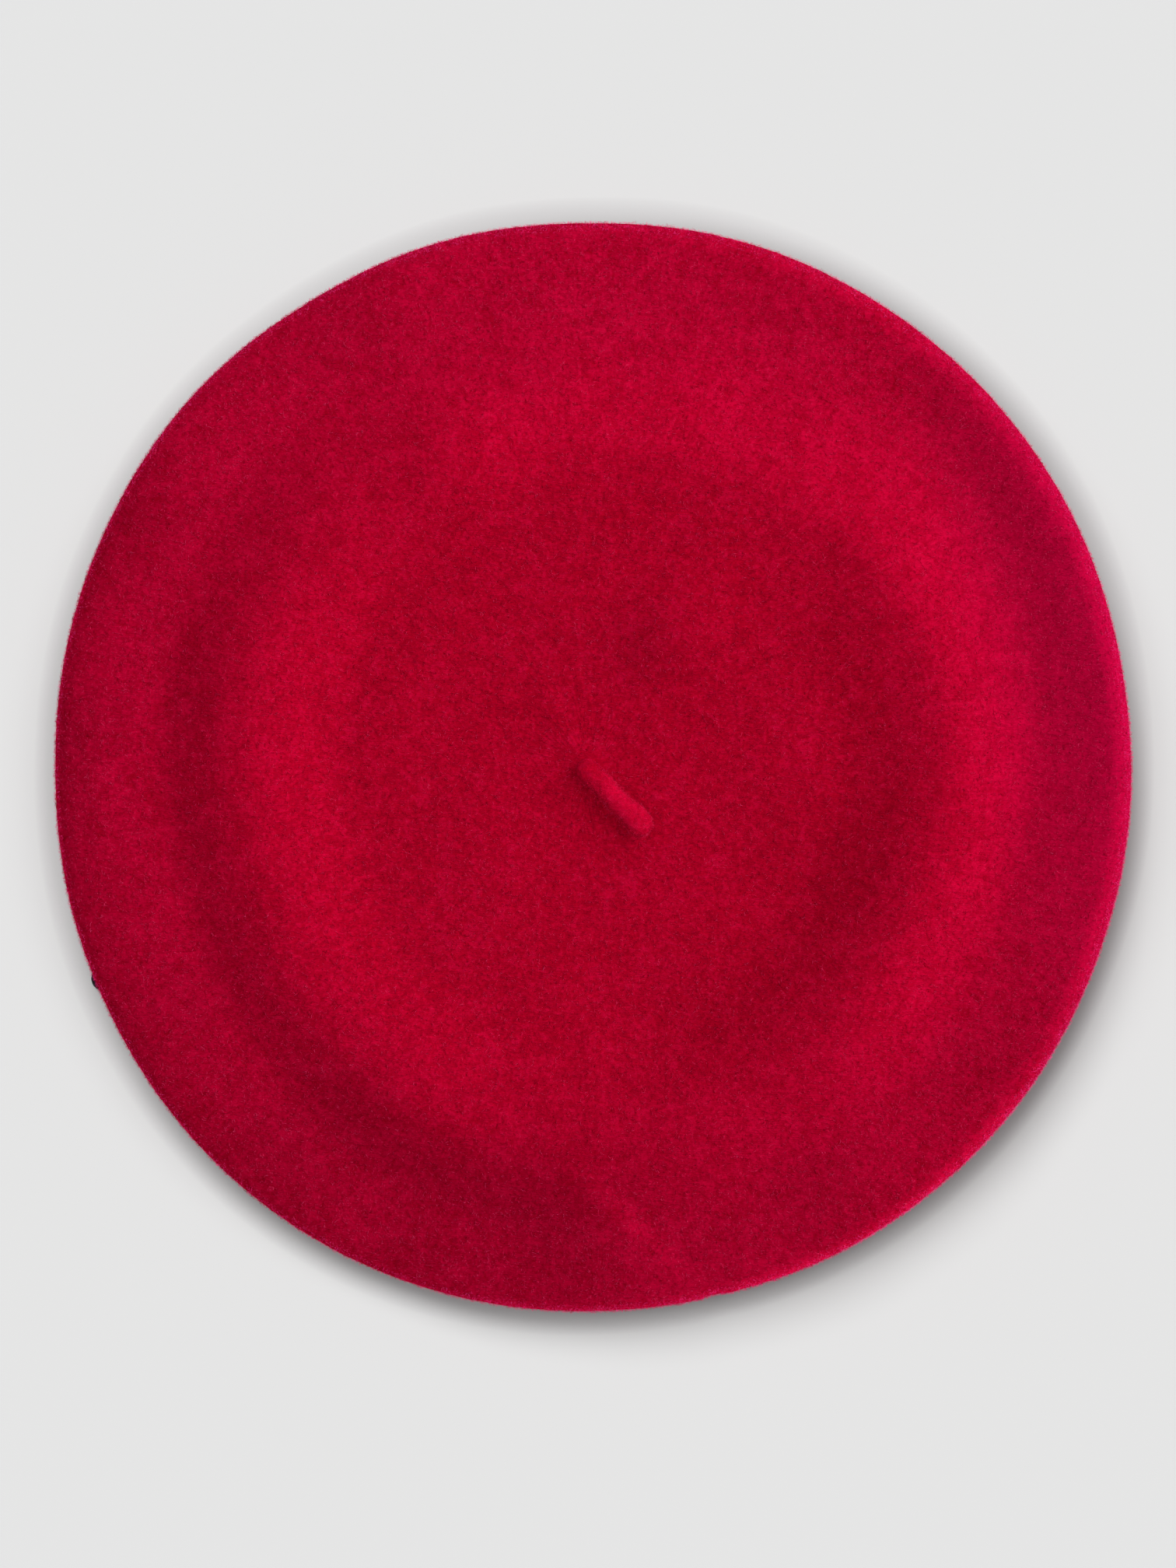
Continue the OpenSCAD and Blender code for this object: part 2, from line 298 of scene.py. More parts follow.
def startFinish(name):
    finish = bpy.data.materials.new(name)
    finish.use_nodes = True
    finish.node_tree.nodes.clear()
    return finish, Wire(finish.node_tree)


def endFinish(sheet, sockets):
    surface = sheet.node("ShaderNodeBsdfPrincipled", {}, sockets)
    sheet.node("ShaderNodeOutputMaterial", {}, {"Surface": surface})


feltLook = {
    "deep": (0.3, 0.0004, 0.011, 1),
    "middle": (0.42, 0.0007, 0.0165, 1),
    "bright": (0.57, 0.0022, 0.038, 1),
    "outer": (0.42, 0.0007, 0.0245, 1),  # pinker outside the ridge
    "blush": (0.46, 0.0012, 0.05, 1),  # and pinker still on the side towards the key light: painted sheen
    "blushShare": 0.5,
    "blushTo": 10,  # degrees
    "blushFrom": (0.095, 0.14),  # metres that way from the middle
    "stalkDeep": (0.42, 0.0006, 0.017, 1),  # the stalk's tones are brighter than the crown's
    "stalkMiddle": (0.55, 0.001, 0.028, 1),
    "stalkBright": (0.68, 0.004, 0.05, 1),
    # share in the tone, then scale per metre, detail, roughness and distortion
    "patches": (0.25, 42, 3.0),
    "mottle": (0.9, 230, 4.0, 0.6, 0.8),
    "grain": (1.2, 1000, 3.0, 0.65),
    "strands": (380, 3000),  # along and across a strand
    "strandTurns": (15, 75, 135),  # degrees
    "strandShare": 0.45,
    "brushed": (150, 200, 0.4),  # streaks from the middle outward: scale round about and along, share
    "brushedFrom": (0.03, 0.075),  # metres from the middle
    "relief": 0.00035,
    # patches of painted light (+) and of painted shade (-) on the felt: x, y, reach, share
    "tones": [
        (-24, 84, 22, 0.17), (2, 90, 24, 0.14), (30, 88, 24, 0.1), (82, -63, 26, 0.1), (13, 31, 18, -0.14),
        (60, 70, 22, 0.08), (28, -57, 24, -0.09), (58, -22, 24, -0.08), (-104, -58, 22, -0.08),
        (-75, -95, 30, -0.18), (-45, -112, 32, -0.15), (-10, -120, 32, -0.22), (26, -126, 26, -0.12),
        (64, -110, 30, -0.14), (105, -72, 30, -0.12), (-66, 113, 28, -0.14), (-112, 66, 26, -0.12),
        (-128, 10, 18, -0.1),
    ],
    "edge": 0.8,  # painted highlight: the felt is painted paler where the edge is steep, on the side away from the key light
    "edgeTo": 215,  # degrees
    "edgeTurn": (-0.06, 0.03),  # metres that way from the middle
    "edgeFrom": (0.125, 0.13),  # metres from the middle
    "edgeSteep": (0.96, 0.4),  # how far up its normal looks: none to all of it
    "edgeUnder": (-0.4, 0.1),  # and none again below
    "sheen": 0.3,
    "sheenTint": (1.0, 0.02, 0.15, 1),
}


def feltFinish(name, tones, reaches):
    # one set of tones in the middle and another further out
    look = feltLook
    finish, sheet = startFinish(name)
    place = sheet.place()
    layers = {kind: place.noise(*look[kind][1:]) for kind in ("patches", "mottle", "grain")}
    along, across = look["strands"]
    strands = None
    for turn in look["strandTurns"]:
        one = place.stretched(turn, (along, across, along)).noise(1.0, 2.0, 0.6).spread(0.56, 0.74)
        strands = one if strands is None else strands.most(one)
    flatPlace = place.vector("MULTIPLY", (1, 1, 0))
    reach = flatPlace.vector("LENGTH", (0, 0, 0), "Value")
    about, outward, brushedShare = look["brushed"]
    outwards = sheet.node("ShaderNodeCombineXYZ", {}, {"Z": outward * reach})
    streakPlace = flatPlace.vector("NORMALIZE", (0, 0, 0)).scaled(about).vector("ADD", outwards)
    streaks = streakPlace.noise(1.0, 2.0, 0.6)
    tone = 0.5
    for kind, layer in layers.items():
        tone = tone + look[kind][0] * (layer - 0.5)
    tone = tone + brushedShare * reach.spread(*look["brushedFrom"]) * (streaks - 0.5)
    deep, middle, bright = (reach.spread(*reaches).blend(look[a], look[b]) for a, b in tones)
    dark = tone.spread(0.2, 0.55).blend(deep, middle)
    light = (tone.spread(0.5, 0.95) + look["strandShare"] * strands).blend(dark, bright)
    # painted sheen: the felt is pinker on the side the key light comes from
    blush = flatPlace.vector("DOT_PRODUCT", heading(look["blushTo"]), "Value").spread(*look["blushFrom"])
    light = (look["blushShare"] * blush).blend(light, look["blush"])
    upward = sheet.node("ShaderNodeNewGeometry", {}, {}, "Normal").vector("DOT_PRODUCT", (0, 0, 1), "Value")
    # painted highlight: the steep edge on the side away from the key light is painted paler
    paintedEdgeSide = flatPlace.vector("DOT_PRODUCT", heading(look["edgeTo"]), "Value").spread(*look["edgeTurn"])
    paintedEdgeLight = upward.spread(*look["edgeSteep"]) * upward.spread(*look["edgeUnder"])
    paintedEdgeLight = paintedEdgeLight * paintedEdgeSide * reach.spread(*look["edgeFrom"])
    # painted light and shade: the listed patches lighten or darken the felt's colour
    light = light.scaled(1 + flatPlace.spots(look["tones"]) + look["edge"] * paintedEdgeLight)
    height = layers["mottle"] * 0.5 + layers["grain"] * 0.35 + strands * 0.5
    endFinish(sheet, {
        "Base Color": light,
        "Roughness": 1.0,
        "Specular IOR Level": 0.0,
        "Sheen Weight": look["sheen"],
        "Sheen Roughness": 0.3,
        "Sheen Tint": look["sheenTint"],
        "Normal": height.relief(0.8, look["relief"]),
    })
    return finish


napLook = {
    "deep": ((0.22, 0.0005, 0.009, 1), (0.34, 0.001, 0.016, 1)),
    "middle": ((0.36, 0.001, 0.019, 1), (0.52, 0.003, 0.036, 1)),
    "bright": ((0.68, 0.009, 0.085, 1), (0.96, 0.075, 0.25, 1)),
    "edge": ((0.72, 0.008, 0.12, 1), (0.95, 0.045, 0.3, 1)),
    "stalk": ((0.66, 0.003, 0.04, 1), (0.85, 0.015, 0.08, 1)),
}


def napFinish(tone):
    finish, sheet = startFinish("nap_" + tone)
    first, second = napLook[tone]
    patches = sheet.place().noise(620.0, 1.0)  # fibres next to each other share a tone
    colour = patches.spread(0.3, 0.7).blend(first, second)
    endFinish(sheet, {"Base Color": colour, "Roughness": 1.0, "Specular IOR Level": 0.0})
    return finish


cordLook = {
    "dark": (0.006, 0.004, 0.006, 1), "pale": (0.03, 0.02, 0.028, 1), "paleFrom": (0.35, 0.75),
    "fuzz": 2600.0, "rough": 0.6, "shine": 0.3, "relief": (0.5, 0.0001),
}
threadLook = {
    "dark": (0.012, 0.008, 0.011, 1), "pale": (0.04, 0.03, 0.036, 1), "paleFrom": (0.35, 0.7),
    "fuzz": 3400.0, "rough": 0.45, "shine": 0.4, "relief": (0.4, 0.00006),
}


def stringFinish(name, look):
    finish, sheet = startFinish(name)
    fuzz = sheet.place().noise(look["fuzz"], 2.0)
    endFinish(sheet, {
        "Base Color": fuzz.spread(*look["paleFrom"]).blend(look["dark"], look["pale"]),
        "Roughness": look["rough"] + 0.3 * fuzz,
        "Specular IOR Level": look["shine"],
        "Normal": fuzz.relief(*look["relief"]),
    })
    return finish


leatherLook = {
    "dark": (0.006, 0.005, 0.006, 1),
    "worn": (0.028, 0.021, 0.022, 1),
    "grain": 900.0,  # cells per metre
    "pores": 2400.0,
    "patches": 60.0,
    "relief": 0.0002,
}


def leatherFinish():
    look = leatherLook
    finish, sheet = startFinish("leather")
    place = sheet.place()
    cells = place.node(
        "ShaderNodeTexVoronoi", {"feature": "DISTANCE_TO_EDGE"}, {"Vector": place, "Scale": look["grain"]}
    ).spread(0.0, 0.25)
    pores = place.noise(look["pores"], 2.0)
    patches = place.noise(look["patches"], 3.0)
    wear = patches.spread(0.4, 0.75) * cells
    endFinish(sheet, {
        "Base Color": wear.blend(look["dark"], look["worn"]),
        "Roughness": 0.62 - 0.2 * cells + 0.15 * patches,
        "Normal": (cells + 0.3 * pores).relief(0.6, look["relief"]),
    })
    return finish


satinLook = {
    "deep": (0.085, 0.002, 0.012, 1),
    "bright": (0.2, 0.007, 0.03, 1),
    "weave": (300, 5200),  # along and across the floats of the weave
    "clouds": 70.0,
    "relief": 0.00006,
}


def satinFinish():
    look = satinLook
    finish, sheet = startFinish("satin")
    place = sheet.place()
    along, across = look["weave"]
    floats = place.stretched(30, (along, across, across)).noise(1.0, 2.0, 0.6)
    cloudy = place.noise(look["clouds"], 2.0)
    tone = 0.12 + 0.6 * floats + 0.25 * cloudy
    endFinish(sheet, {
        "Base Color": tone.spread(0.35, 0.75).blend(look["deep"], look["bright"]),
        "Roughness": 0.38 + 0.25 * floats,
        "Specular IOR Level": 0.22,
        "Sheen Weight": 0.15,
        "Sheen Tint": (1.0, 0.12, 0.22, 1),
        "Normal": floats.relief(0.5, look["relief"]),
    })
    return finish


crownTones = [("deep", "deep"), ("middle", "outer"), ("bright", "bright")]
stalkTones = [("deep", "stalkDeep"), ("middle", "stalkMiddle"), ("bright", "stalkBright")]
felt = feltFinish("felt", crownTones, (0.07, 0.12))
stalkFelt = feltFinish("stalk_felt", stalkTones, (0.001, 0.007))
cordBlack, threadBlack = stringFinish("cord", cordLook), stringFinish("thread", threadLook)
leather, satin = leatherFinish(), satinFinish()
print("finishes made")

# The bow: cord routes in the bow's own frame, as listed
bow = {
    "thick": 1.2,
    "lies": 0.8,  # height of the cord's middle above the table
    "sides": 24,
    "step": 0.24,
    "braids": 4,  # strands each way round
    "pitch": 5.2,  # one turn of a strand
    "ridges": 0.1,  # share of the radius that the braid stands proud
    "cutEnd": 0.6,  # share of the radius at an end
    "loop_long": [
        (2.8, 0.9), (5.5, 1.6), (9, 2.5), (13, 3.4), (17, 4), (21, 4.3), (24.6, 4.2), (28.2, 3.8),
        (31.6, 3.3), (34.8, 2.9), (37.6, 2.6), (38.9, 2.3), (39.8, 1.4), (40.2, 0),
    ],
    "loop_short": [
        (2.8, 0.9), (5.8, 1.7), (9, 2.5), (12, 3.1), (15, 3.3), (18, 3.2), (21, 2.9), (23.4, 2.6),
        (24.7, 2.3), (25.6, 1.4), (26, 0),
    ],
    "tail_long": [
        (2.8, 0), (5.5, 0.2), (8, 0.6), (10.5, 1.2), (13, 1.9), (15.5, 2.5), (18, 2.9), (20.5, 3.1), (23, 3),
        (25.5, 2.6), (28, 2), (30.5, 1.3), (33, 0.6), (35.5, 0), (38, -0.4), (40.4, -0.6),
    ],
    "tail_short": [
        (2.8, 0), (5, -0.2), (7.2, -0.6), (9.4, -1.2), (11.6, -1.9), (13.8, -2.5), (16, -2.9), (18.2, -3),
        (20.4, -2.8), (22.6, -2.3), (24.8, -1.6), (27, -0.8), (29.2, 0), (31.3, 0.7), (33.4, 1.3),
    ],
    "turns": {"loop_long": 0, "loop_short": 72, "tail_long": -58, "tail_short": -104},
}


def braidRings(path, sides=bow["sides"]):
    # a braided cord: strands that run both ways round stand proud where they pass over
    step = strides(path).mean()
    along = np.arange(len(path))[:, None] * step / bow["pitch"]
    turn = np.arange(sides) / sides
    n = bow["braids"]
    over = np.maximum(np.cos(2 * np.pi * n * (turn + along)), np.cos(2 * np.pi * n * (turn - along)))
    radius = bow["thick"] / 2 * (1 - bow["ridges"] + bow["ridges"] * over)
    radius[[0, -1]] *= bow["cutEnd"]
    return tubeRings(path, radius, sides)


def freeCord(name, far):
    # a loop's route comes back on its other side
    points = bow[name]
    if far == "object":
        points = points + [(x, -y) for x, y in points[-2::-1]]
    path = smoothPath(onTable(points, bow["turns"][name], bow["lies"]), bow["step"])
    piece = makePiece(name + "_braid", solidOf(braidRings(path)), cordBlack, ["bow_" + name], "bow")


freeCord("loop_long", "object")
freeCord("loop_short", "object")
freeCord("tail_long", "bare")
freeCord("tail_short", "bare")

# The knot: the cord wound round the roots of the loops, tails and leads
knot = {"turns": 2.6, "wide": 1.75, "high": 0.95, "half": 1.15, "through": 2.9}
winding = np.linspace(0, 2 * np.pi * knot["turns"], 140)
wound = np.stack([
    np.linspace(-knot["half"], knot["half"], len(winding)),
    knot["wide"] * np.cos(winding),
    knotMiddle[2] + knot["high"] * np.sin(winding),
], axis=1)
ends = np.linspace(-knot["through"], knot["through"], 24)
lift = knotMiddle[2] + (bow["lies"] - knotMiddle[2]) * np.abs(ends) / knot["through"]
through = np.stack([ends, 0 * ends, lift], axis=1)
knotSolids = [solidOf(braidRings(onTable(wound)))]
for spin in bow["turns"].values():
    root = through if spin == 0 else through[len(ends) // 2:]  # the first runs through from the leads
    knotSolids.append(solidOf(braidRings(onTable(root, spin))))
makePiece("knot_wraps", gather(knotSolids), cordBlack, ["bow_knot"], "bow")

# The drawstring in the sweatband's fold, and its two leads to the knot
drawstring = {
    "radius": 88.8,
    "height": 1.7,
    "leadFrom": -2.8,  # from the knot's middle
    "leadBeside": 0.75,
    "leadBend": 2.4,
    "endBeside": 3.25,  # from the middle of the back to the end of the ring
    "sides": 12,
}
bowRadius = math.hypot(knotMiddle[0], knotMiddle[1])
halfGap = math.asin(drawstring["endBeside"] / drawstring["radius"])
ringTurn = backAngle + np.linspace(halfGap, 2 * np.pi - halfGap, 1100)
ringPath = aboutAxis(drawstring["radius"], ringTurn, drawstring["height"])
ringBraid = solidOf(braidRings(ringPath, drawstring["sides"]))
makePiece("drawstring_braid", ringBraid, cordBlack, ["drawstring"])

leadFrom, leadBeside, leadBend = (drawstring[kind] for kind in ("leadFrom", "leadBeside", "leadBend"))
bendFrom = drawstring["radius"] - bowRadius + leadBend
straight, curve = np.linspace(0, 1, 12), np.linspace(0, np.pi / 2, 9)[1:]
x = np.concatenate([leadFrom + (bendFrom - leadFrom) * straight, bendFrom - leadBend * np.sin(curve)])
y = leadBeside + np.concatenate([0 * straight, leadBend * (1 - np.cos(curve))])
z = bow["lies"] + (drawstring["height"] - bow["lies"]) * ease(np.concatenate([straight, 1 + 0 * curve]))
leads = []
for hand in (1, -1):
    leadPath = smoothPath(onTable(np.stack([x, hand * y, z], axis=1)), bow["step"])
    leads.append(solidOf(braidRings(leadPath)))
leadPiece = makePiece("lead_braids", gather(leads), cordBlack, ["drawstring_leads"], None)
held, drawn = onTable([(bendFrom, 0), (leadFrom, 0)], 0, drawstring["height"]) * mm
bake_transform(leadPiece)
print("bow and drawstring made")

# The felt crown as it lies: heights of its upper face
crown = {
    "thick": 2.8,
    "hole": 0.7,
    "floor": 21.1,  # height of the dish
    "lean": 0.02,  # rise of the dish, towards leanTo
    "leanTo": 42,
    # each with its mean, then how far and where to it leans, is oval and is three- and four-cornered
    "ridge": (87.8, (5.3, 256), (1.2, 160), (3.3, 18)),  # its radius
    "dish": (4.1, (1.9, 240), (2.2, 151)),  # depth of the dish below the ridge
    # depth outside the ridge, and its place as a share of the way from ridge to roll
    "valley": (7.0, (3.3, 30), (1.9, 49), (0.4, 29)),
    "valleyPlace": (0.65, (0.09, 60), (0.1, 76), (0.03, 46)),
    "swell": (-0.4, (1.2, 25), (0.7, 168)),  # rise outside the valley
    "swellTo": (141, (8, 225)),  # radius at which it would end
    "droop": (0.9, (1.3, 175)),  # of the last of the crown before its edge
    "droopFrom": 126,
    "dishSlope": 28.5,  # width of the slope between dish and ridge
    "roll": 6.5,
    "fullness": (0.75, (0.25, 20)),  # of the roll: 1 is round, less is fuller
    "widest": 0.46,  # height of the widest line, as a share of the edge's roll
    "tableGap": 2,
    "bend": 3,
    "lipOut": 90.5,
    "lipTop": 8.2,
    "lipEdge": 2.5,
    "outline": (-0.24, (0.36, 158), (1.18, 77), (0.23, 119), (0.44, 49)),
    "outlineFrom": 95,  # radius outside which the felt follows its outline
    "wobble": 0.12,  # of the outline
    "waves": 0.14,  # height of the broad unevenness
    "waveCount": 9,
    "waveLengths": (24, 75),
    "wavesFrom": 5,  # radius at which they start, and width over which they grow
    "wavesOver": 20,
    "pile": 0.05,  # height of the fine unevenness
    "nick": (-76.6, 1.6, 0.5),  # direction, half width in degrees, depth
    # x, y, half width, height
    "dents": [(24, 36, 22, 1.5), (-63, -136, 60, -1.5), (-0.6, 0.6, 6, 0.6)],
    # x, y at its start and end, width to the left and right of it, height
    "creases": [
        (-18, -91, 36, -147, 8, 28, 1.3),
        (1, -58, 0, -86, 6, 4, 0.35),
        (-0.5, 0, -15, 25, 6, 5, 0.35),
        (-114, -61.5, -105, -62.6, 2.4, 2.2, 0.45),
    ],
    "around": 360,
    "upper": 112,  # points from the hole to the rolled edge
    "further": (22, 13, 15, 7, 5),  # along the roll, its fall, the underside, the bend and the lip
    "seed": 11,
}
rimRadius = crownRadius - crown["roll"]
waves = np.random.default_rng(crown["seed"])
waveTurns, wavePhases = waves.uniform(0, 2 * np.pi, (2, crown["waveCount"]))
waveLengths = waves.uniform(*crown["waveLengths"], crown["waveCount"])
wobblePhases = waves.uniform(0, 2 * np.pi, crown["waveCount"])


def roundAbout(kind, angle):
    # a size that changes slowly round the beret
    size = kind[0]
    for times, (far, to) in enumerate(kind[1:], 1):
        size = size + far * np.cos(times * np.radians(angle - to))
    return size


def ridgeRadius(angle):
    return roundAbout(crown["ridge"], angle)


def outlineShift(angle):
    # of the felt's edge from a circle about the stalk
    t = np.radians(angle)
    shift = outlineMiddle[0] * np.cos(t) + outlineMiddle[1] * np.sin(t) + roundAbout(crown["outline"], angle)
    for k, phase in enumerate(wobblePhases, 5):
        shift = shift + crown["wobble"] * np.cos(k * t + phase) / 2
    at, half, depth = crown["nick"]
    return shift - depth * towards(angle, at, half)


def crease(x, y, startX, startY, endX, endY, left, right, height):
    # a ridge along a line, level at its ends and sides
    ahead = np.array([endX - startX, endY - startY])
    length = np.hypot(*ahead)
    ahead = ahead / length
    along = ((x - startX) * ahead[0] + (y - startY) * ahead[1]) / length
    off = (y - startY) * ahead[0] - (x - startX) * ahead[1]
    return height * bump(2 * along - 1) * bump(off / np.where(off > 0, left, right))


def crownHeight(r, angle):
    # height of the felt's upper face
    x, y = r * np.cos(np.radians(angle)), r * np.sin(np.radians(angle))
    ridge, dish, valley = (roundAbout(crown[kind], angle) for kind in ("ridge", "dish", "valley"))
    valleyAt = ridge + roundAbout(crown["valleyPlace"], angle) * (rimRadius - ridge)
    inner = dish * bump((ridge - r) / crown["dishSlope"])
    outer = dish - valley + valley * bump((r - ridge) / (valleyAt - ridge))
    swellTo = roundAbout(crown["swellTo"], angle)
    outer = outer + roundAbout(crown["swell"], angle) * ease((r - valleyAt) / (swellTo - valleyAt))
    height = crown["floor"] + np.where(r < ridge, inner, outer)
    height = height + crown["lean"] * r * np.cos(np.radians(angle - crown["leanTo"]))
    toEdge = np.maximum(r - crown["droopFrom"], 0) / (crownRadius - crown["droopFrom"])
    height = height - roundAbout(crown["droop"], angle) * toEdge**2
    for atX, atY, wide, high in crown["dents"]:
        height = height + high * bump(np.hypot(x - atX, y - atY) / wide)
    for line in crown["creases"]:
        height = height + crease(x, y, *line)
    uneven = 0
    for turn, phase, length in zip(waveTurns, wavePhases, waveLengths):
        uneven = uneven + np.cos(2 * np.pi * (x * np.cos(turn) + y * np.sin(turn)) / length + phase)
    return height + crown["waves"] * uneven / 2 * ease((r - crown["wavesFrom"]) / crown["wavesOver"])


def sectionOf(rows, angle):
    # rows of (radius, height), each one number or one for each direction, as one array
    return np.array([np.broadcast_arrays(r, z, angle)[:2] for r, z in rows]).transpose(2, 0, 1)


def feltSection(angle):
    # the felt's outer face at each direction, from the hole to the lip
    gap, roll, bend = crown["tableGap"], crown["roll"], crown["bend"]
    rollPoints, fallPoints, underPoints, bendPoints, lipPoints = crown["further"]
    widestHeight = gap + crown["widest"] * (crownHeight(rimRadius, angle) - gap)
    rows = []
    for r in np.linspace(crown["hole"], rimRadius, crown["upper"]):
        rows.append((r, crownHeight(r, angle)))
    upper = len(rows)
    fullness = roundAbout(crown["fullness"], angle)
    for t in np.radians(np.linspace(90, 0, rollPoints))[1:]:
        r = rimRadius + roll * math.cos(t) ** fullness
        rise = (crownHeight(r, angle) - widestHeight) * math.sin(t) ** fullness
        rows.append((r, widestHeight + rise))
    widest = len(rows)
    for t in np.radians(np.linspace(0, -90, fallPoints))[1:]:
        rows.append((rimRadius + roll * math.cos(t), widestHeight + (widestHeight - gap) * math.sin(t)))
    bendAt, underside = crown["lipOut"] + bend, crown["lipTop"] + bend
    for s in np.linspace(0, 1, underPoints)[1:]:
        rows.append((rimRadius + (bendAt - rimRadius) * s, gap + (underside - gap) * ease(s)))
    for t in np.radians(np.linspace(90, 180, bendPoints))[1:]:
        rows.append((bendAt + bend * math.cos(t), crown["lipTop"] + bend * math.sin(t)))
    for z in np.linspace(crown["lipTop"], crown["lipEdge"], lipPoints)[1:]:
        rows.append((crown["lipOut"], z))
    section = sectionOf(rows, angle)
    follows = ease((section[..., 0] - crown["outlineFrom"]) / (rimRadius - crown["outlineFrom"]))
    section[..., 0] += outlineShift(angle)[:, None] * follows
    return section, upper, widest


def beside(section, away):
    # the section again, moved inwards
    ahead = np.gradient(section, axis=1)
    ahead[:, 0] = section[:, 1] - section[:, 0]
    ahead[:, -1] = section[:, -1] - section[:, -2]
    ahead = unit(ahead)
    return section + away * np.stack([ahead[..., 1], -ahead[..., 0]], axis=-1)


def spun(section, angle):
    # rows of (radius, height) at each direction, as points in space
    return aboutAxis(section[..., 0], np.radians(angle)[:, None], section[..., 1])


feltTurn = np.arange(crown["around"]) * 360 / crown["around"]
outerFelt, upperCount, widestCount = feltSection(feltTurn)
innerFelt = beside(outerFelt, crown["thick"])
pile = np.random.default_rng(crown["seed"] + 1).normal(0, crown["pile"], outerFelt.shape[:2])
pile[:, widestCount + 8:] = 0  # none underneath or at the hole
pile[:, :6] = 0
outerFelt = beside(outerFelt, pile[..., None])
feltRings = np.concatenate([spun(outerFelt, feltTurn), spun(innerFelt[:, ::-2], feltTurn)], axis=1)
feltPiece = makePiece("felt_shell", solidOf(feltRings, True), felt, ["felt_crown"])
print("felt crown made,", len(feltPiece.data.polygons), "faces")


def bakeMap(piece, places):
    # a flat map of each face's corners
    layer = piece.data.uv_layers.new(name="OFBake")
    layer.uv.foreach_set("vector", np.asarray(places, np.float32).ravel())


def opened(index, count):
    # where a face closes a ring, its first point counts as one past the last
    closes = (index.max(1) - index.min(1) > 1)[:, None] & (index == 0)
    return np.where(closes, count, index)


# A flat map: the upper face as seen from above, and the rest as a strip beside it
feltMap = {"face": 0.74, "spare": 12, "strip": 0.77, "stripWide": 0.22, "margin": 0.01}
columns = feltRings.shape[1]
corner = np.array([loop.vertex_index for loop in feltPiece.data.loops]).reshape(-1, 4)
row, column = opened(corner // columns, crown["around"]), opened(corner % columns, columns)
flat = feltRings.reshape(-1, 3)[corner][..., :2] / (2 * crownRadius + feltMap["spare"])
flat = feltMap["margin"] + feltMap["face"] * (flat + 0.5)
acrossStrip = feltMap["strip"] + feltMap["stripWide"] * (column - widestCount) / (columns - widestCount)
alongStrip = feltMap["margin"] + (1 - 2 * feltMap["margin"]) * row / crown["around"]
strip = np.stack([acrossStrip, alongStrip], axis=-1)
seenAbove = (column.max(1) <= widestCount)[:, None, None]
bakeMap(feltPiece, np.where(seenAbove, flat, strip))


# Nap: loose fibres rooted in the felt, each kind with its count, length, thickness, lift and seed
nap = {
    "deep": (12000, (0.9, 1.9), 0.085, (4, 16), 21),
    "middle": (33000, (0.9, 2.1), 0.085, (6, 22), 22),
    "bright": (30000, (0.5, 2.0), 0.05, (6, 30), 23),
    "edge": (32000, (0.45, 1.2), 0.07, (12, 70), 24),
    "rim": (18000, (0.4, 1.3), 0.05, (10, 40), 25),
}
fibre = {"rooted": 0.12, "arch": 0.06, "bend": 0.1}  # depth, and shares of its length
napDeep, napMiddle, napBright, napEdge, napStalk = (napFinish(tone) for tone in napLook)


def scatter(rings, count, draw):
    # places spread evenly over a skin of rings, with its normal and the direction along each ring
    a, b = rings, np.roll(rings, -1, axis=0)
    corners = [a[:, :-1], a[:, 1:], b[:, 1:], b[:, :-1]]
    normal = np.cross(corners[2] - corners[0], corners[3] - corners[1])
    area = np.linalg.norm(normal, axis=-1).ravel()
    pick = draw.choice(area.size, count, p=area / area.sum())
    p, q, r, s = (c.reshape(-1, 3)[pick] for c in corners)
    u, v = draw.random((2, count, 1))
    place = (p * (1 - u) + q * u) * (1 - v) + (s * (1 - u) + r * u) * v
    return place, unit(normal.reshape(-1, 3)[pick]), unit(q - p)


def fibres(rings, count, long, thick, lift, seed):
    # thin spindles, bent a little, each rooted in the skin
    draw = np.random.default_rng(seed)
    place, normal, along = scatter(rings, count, draw)
    turn = draw.uniform(0, 2 * np.pi, (count, 1))
    ahead = np.cos(turn) * along + np.sin(turn) * np.cross(normal, along)
    side = np.cross(ahead, normal)
    length = draw.uniform(*long, (count, 1))
    lift = np.radians(draw.uniform(*lift, (count, 1)))
    root = place - fibre["rooted"] * normal
    tip = place + length * (np.cos(lift) * ahead + np.sin(lift) * normal)
    bend = draw.normal(0, fibre["bend"], (count, 1))
    middle = (root + tip) / 2 + length * (fibre["arch"] * normal + bend * side)
    points = [root]
    for around in np.radians((90, 210, 330)):
        points.append(middle + thick / 2 * (np.cos(around) * side + np.sin(around) * normal))
    points = np.stack(points + [tip], axis=1).reshape(-1, 3)
    spindle = np.array([(0, 2, 1), (0, 3, 2), (0, 1, 3), (4, 1, 2), (4, 2, 3), (4, 3, 1)])
    faces = (np.arange(count)[:, None, None] * 5 + spindle).reshape(-1, 3)
    return points, faces.tolist()


def napMap(piece, count):
    # one small cell of the map for each fibre
    wide = math.ceil(math.sqrt(count))
    cell = np.repeat(np.arange(count), 18)
    inCell = np.tile([(0.2, 0.2), (0.8, 0.2), (0.5, 0.8)], (count * 6, 1))
    bakeMap(piece, (np.stack([cell % wide, cell // wide], axis=-1) + inCell) / wide)


def addNap(name, rings, kind, finish, body="beret"):
    piece = makePiece(name, fibres(rings, *kind), finish, body=body)
    napMap(piece, kind[0])
    return piece


